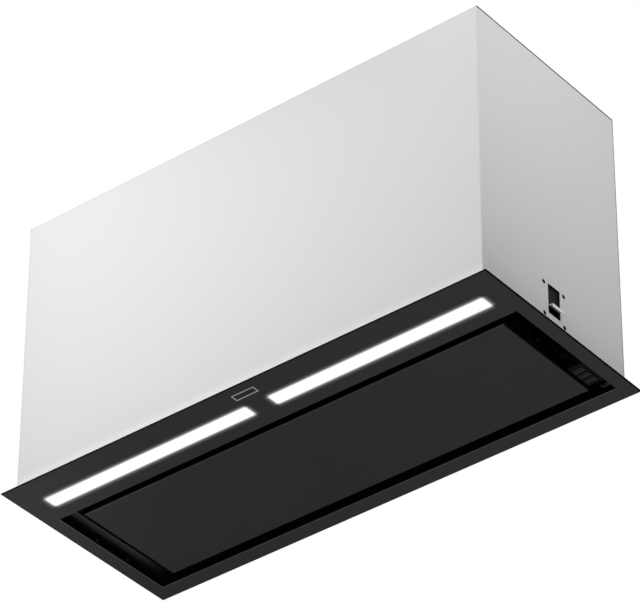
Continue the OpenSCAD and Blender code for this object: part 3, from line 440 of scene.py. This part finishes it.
DIFFUSER_RIM, DIFFUSER_MIDDLE = 0.05, 0.85
DIFFUSER_RIM_W = 0.6 * MM  # how far the light reaches past the strip's lit area
DIFFUSER_GLOW, DIFFUSER_FALL = 1.5, 3.0
DIFFUSER_SPECULAR = 0.1
DIFFUSER_ROUGH, DIFFUSER_ROUGH_NOISE = (0.35, 0.5), (60.0, 4.0)
DIFFUSER_GRAIN_NOISE = (1200.0, 2.0)
DIFFUSER_GRAIN_STRENGTH, DIFFUSER_GRAIN_H = 0.3, 0.01 * MM


def lit_diffuser():
    """The strips' light falls off towards a printed rim."""
    material, tree, bsdf = new_material("lit_diffuser")
    inside = math_node(tree, "ADD", depth_in_strip(tree), DIFFUSER_RIM_W)
    lit = math_node(tree, "DIVIDE", inside, STRIP_ROUND, clamp=True)
    glow = both(tree, math_node(tree, "POWER", lit, DIFFUSER_FALL), DIFFUSER_GLOW)
    rough_noise = noise(tree, *DIFFUSER_ROUGH_NOISE)
    fine = noise(tree, *DIFFUSER_GRAIN_NOISE)
    sockets = bsdf.inputs
    connect(tree, sockets["Base Color"],
            mixed(tree, lit, grey(DIFFUSER_RIM), grey(DIFFUSER_MIDDLE)))
    connect(tree, sockets["Roughness"],
            map_range(tree, rough_noise, NOISE_SPAN, DIFFUSER_ROUGH))
    connect(tree, sockets["Normal"],
            bump(tree, fine, DIFFUSER_GRAIN_STRENGTH, DIFFUSER_GRAIN_H))
    connect(tree, sockets["Emission Strength"], glow)
    sockets["Emission Color"].default_value = grey(1)
    sockets["Specular IOR Level"].default_value = DIFFUSER_SPECULAR
    return material


MATERIALS = {finish: finish_of(*row, **rest) for finish, (*row, rest) in FINISHES.items()}
MATERIALS["diffuser"] = lit_diffuser()


def pair(name):
    return (name + "_left", name + "_right")


NODES_OF = {
    "casing_front": ("front_wall",),
    "casing_rear": ("rear_wall",),
    "casing_side": ("left_wall", "right_wall"),
    "cover": ("top_cover",),
    "flange": ("bottom_frame",),
    "panel": ("suction_panel",),
    "backing": ("panel_backing",),
    "guide": ("left_air_guide", "right_air_guide"),
    "black_sheet": ("front_baffle", "rear_baffle"),
    "zinc": ("filter_plate", "motor_bracket", "blower_bracket", *pair("hinge_arm"),
             *pair("hinge_bracket")),
    "aluminium": pair("led_channel"),
    "diffuser": pair("led_diffuser"),
    "board": ("led_boards",),
    "filter_frame": ("lip_rivets", *pair("filter_frame")),
    "mesh": pair("filter_mesh"),
    "latch": pair("filter_latch"),
    "magnet": ("catch_magnets",),
    "scroll": ("outlet_adaptor", *pair("blower_scroll")),
    "impeller": ("impeller",),
    "motor": ("motor",),
    "rubber": ("motor_bushes",),
    "collar": ("duct_collar", "cable_gland"),
    "flap": ("damper_flap_front", "damper_flap_rear"),
    "box": ("control_box", "control_box_lid"),
    "capacitor": ("motor_capacitor",),
    "pod": ("control_pod",),
    "key": ("button_front", "button_middle", "button_rear"),
    "receiver": ("remote_receiver",),
    "holder": pair("clip_holder"),
    "spring": pair("side_clip"),
    "steel": ("hinge_pins", "motor_shaft", "damper_spindle", "cover_screws", "collar_screws"),
}
FINISH_OF_NODE = {name: finish for finish, names in NODES_OF.items() for name in names}
for name, obj in nodes.items():
    obj.data.materials.clear()
    obj.data.materials.append(MATERIALS[FINISH_OF_NODE[name]])


# Rounded edges

BEVEL_SEGMENTS = 2
SHEET_ROUND = 0.4 * MM
FLANGE_ROUND = 0.35 * MM
SHEET_ANGLE = math.radians(35)
PIECE_ANGLE = math.radians(40)
FLAT_ANGLE = math.radians(0.5)
WELD_DISTANCE = 0.001 * MM


def bevel(obj, width, angle):
    edge = obj.modifiers.new("edge", "BEVEL")
    edge.width = width
    edge.segments = BEVEL_SEGMENTS
    edge.limit_method = "ANGLE"
    edge.angle_limit = angle
    return edge


def round_edges(names, width):
    """Rounds the edges of CAD nodes, once their flat faces are whole."""
    for name in names:
        weld = nodes[name].modifiers.new("weld", "WELD")
        weld.merge_threshold = WELD_DISTANCE
        flat = nodes[name].modifiers.new("flat", "DECIMATE")
        flat.decimate_type = "DISSOLVE"
        flat.angle_limit = FLAT_ANGLE
        edge = bevel(nodes[name], width, SHEET_ANGLE)
        edge.use_clamp_overlap = False
        edge.harden_normals = True


round_edges(("front_wall", "rear_wall", "left_wall", "right_wall", "top_cover"), SHEET_ROUND)
round_edges(("bottom_frame",), FLANGE_ROUND)


# Blank plate on the flange, with a bright rim

PLATE_X = 16.6 * MM
PLATE_Y = (-132.6 * MM, -120.7 * MM)
PLATE_Z = (-0.25 * MM, 0.4 * MM)
PLATE_ROUND = 0.2 * MM
RIM_Z = (-0.32 * MM, -0.1 * MM)
RIM_W = 1.6 * MM
RIM_INSET = 0.5 * MM


def mesh_piece(name, bm, material, body):
    mesh = bpy.data.meshes.new(name)
    bm.to_mesh(mesh)
    bm.free()
    obj = bpy.data.objects.new(name, mesh)
    bpy.context.scene.collection.objects.link(obj)
    mesh.materials.append(material)
    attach(obj, body)
    return obj


def add_block(bm, x, y, z):
    """A block from the lower to the upper end of x, y and z."""
    made = bmesh.ops.create_cube(bm, size=1)["verts"]
    bmesh.ops.scale(bm, vec=[hi - lo for lo, hi in (x, y, z)], verts=made)
    bmesh.ops.translate(bm, vec=[(hi + lo) / 2 for lo, hi in (x, y, z)], verts=made)


def blank_plate():
    bm = bmesh.new()
    add_block(bm, (-PLATE_X, PLATE_X), PLATE_Y, PLATE_Z)
    plate = mesh_piece("blank_plate", bm, MATERIALS["plate"], "casing")
    bevel(plate, PLATE_ROUND, PIECE_ANGLE)


def blank_plate_rim():
    x0, x1 = -PLATE_X + RIM_INSET, PLATE_X - RIM_INSET
    y0, y1 = PLATE_Y[0] + RIM_INSET, PLATE_Y[1] - RIM_INSET
    bm = bmesh.new()
    for y in ((y0, y0 + RIM_W), (y1 - RIM_W, y1)):
        add_block(bm, (x0, x1), y, RIM_Z)
    for x in ((x0, x0 + RIM_W), (x1 - RIM_W, x1)):
        add_block(bm, x, (y0 + RIM_W, y1 - RIM_W), RIM_Z)
    mesh_piece("blank_plate_rim", bm, MATERIALS["plate_rim"], "casing")


blank_plate()
blank_plate_rim()


# Floor and world, both white to the camera

FLOOR_HALF = 30
FLOOR_Z = -7.6
FLOOR_DARK, FLOOR_LIGHT = 0.86, 0.9
FLOOR_NOISE = (0.7, 3.0)
FLOOR_ROUGH, FLOOR_SPECULAR = 0.9, 0.1
FLOOR_GLOW = 0.5
WORLD_SOFT = 0.3045
WORLD_GLOSS = 0.6
WORLD_SEEN = 1.0


def seen_directly(tree):
    """1 for rays from the camera, also through clear pieces."""
    path = add_node(tree, "LightPath")
    return either(tree, path.outputs["Is Camera Ray"], path.outputs["Is Transmission Ray"])


def mixed_shaders(tree, factor, first, second):
    inputs = {0: factor, 1: first.outputs[0], 2: second.outputs[0]}
    return add_node(tree, "MixShader", inputs)


def stage_floor():
    bm = bmesh.new()
    bmesh.ops.create_grid(bm, x_segments=1, y_segments=1, size=FLOOR_HALF)
    bmesh.ops.translate(bm, vec=(0, 0, FLOOR_Z), verts=bm.verts)
    mesh = bpy.data.meshes.new("floor")
    bm.to_mesh(mesh)
    bm.free()
    floor = bpy.data.objects.new("floor", mesh)
    bpy.context.scene.collection.objects.link(floor)
    material, tree, bsdf = new_material("pale_floor")
    colour = tint(tree, noise(tree, *FLOOR_NOISE), grey(FLOOR_DARK), grey(FLOOR_LIGHT))
    connect(tree, bsdf.inputs["Base Color"], colour)
    bsdf.inputs["Roughness"].default_value = FLOOR_ROUGH
    bsdf.inputs["Specular IOR Level"].default_value = FLOOR_SPECULAR
    glow = add_node(tree, "Emission", {"Color": grey(1), "Strength": FLOOR_GLOW})
    lit = add_node(tree, "AddShader", {0: bsdf.outputs[0], 1: glow.outputs[0]})
    shader = mixed_shaders(tree, seen_directly(tree), bsdf, lit)
    tree.links.new(shader.outputs[0], tree.nodes["Material Output"].inputs[0])
    mesh.materials.append(material)


def make_world():
    world = bpy.data.worlds.new("world")
    bpy.context.scene.world = world
    world.use_nodes = True
    tree = world.node_tree
    tree.nodes.clear()
    soft, gloss, white = (add_node(tree, "Background", {"Color": grey(1), "Strength": strength})
                          for strength in (WORLD_SOFT, WORLD_GLOSS, WORLD_SEEN))
    glossy = add_node(tree, "LightPath").outputs["Is Glossy Ray"]
    unseen = mixed_shaders(tree, glossy, soft, gloss)
    shader = mixed_shaders(tree, seen_directly(tree), unseen, white)
    add_node(tree, "OutputWorld", {0: shader.outputs[0]})


stage_floor()
make_world()


# Lamps: name, place, the point that each looks at, width and height, and watts

LAMPS = (
    ("key", (-0.015, -0.644, 0.238), (0.3, -0.13, -0.059), (1.2, 0.84), 3.98),
    ("side", (0.7, -0.071, 0.446), (0.34, 0, 0.4), (0.73, 0.58), 1.43),
    ("back", (-1.6, 2.0, 1.7), (-0.1, 0.1, 0.25), (1.6, 1.2), 55),
    ("low", (0.55, 0.0, -0.9), (0.2, 0, 0), (0.5, 0.3), 1.8),
    ("corner", (-0.36, -0.13, -0.2), (-0.36, -0.13, 0), (0.1, 0.1), 0.12),
    ("crown", (0.33, -0.302, 0.45), (0.33, -0.132, 0.45), (0.05, 0.05), 0.04),
)


def lamp(name, at, towards, size, watts):
    data = bpy.data.lights.new(name, "AREA")
    data.shape = "RECTANGLE"
    data.size, data.size_y = size
    data.energy = watts
    obj = bpy.data.objects.new(name, data)
    obj.location = at
    obj.rotation_mode = "QUATERNION"
    obj.rotation_quaternion = (Vector(towards) - Vector(at)).to_track_quat("-Z", "Y")
    obj.visible_camera = False
    bpy.context.scene.collection.objects.link(obj)


for row in LAMPS:
    lamp(*row)

bpy.context.scene.view_settings.view_transform = "Standard"
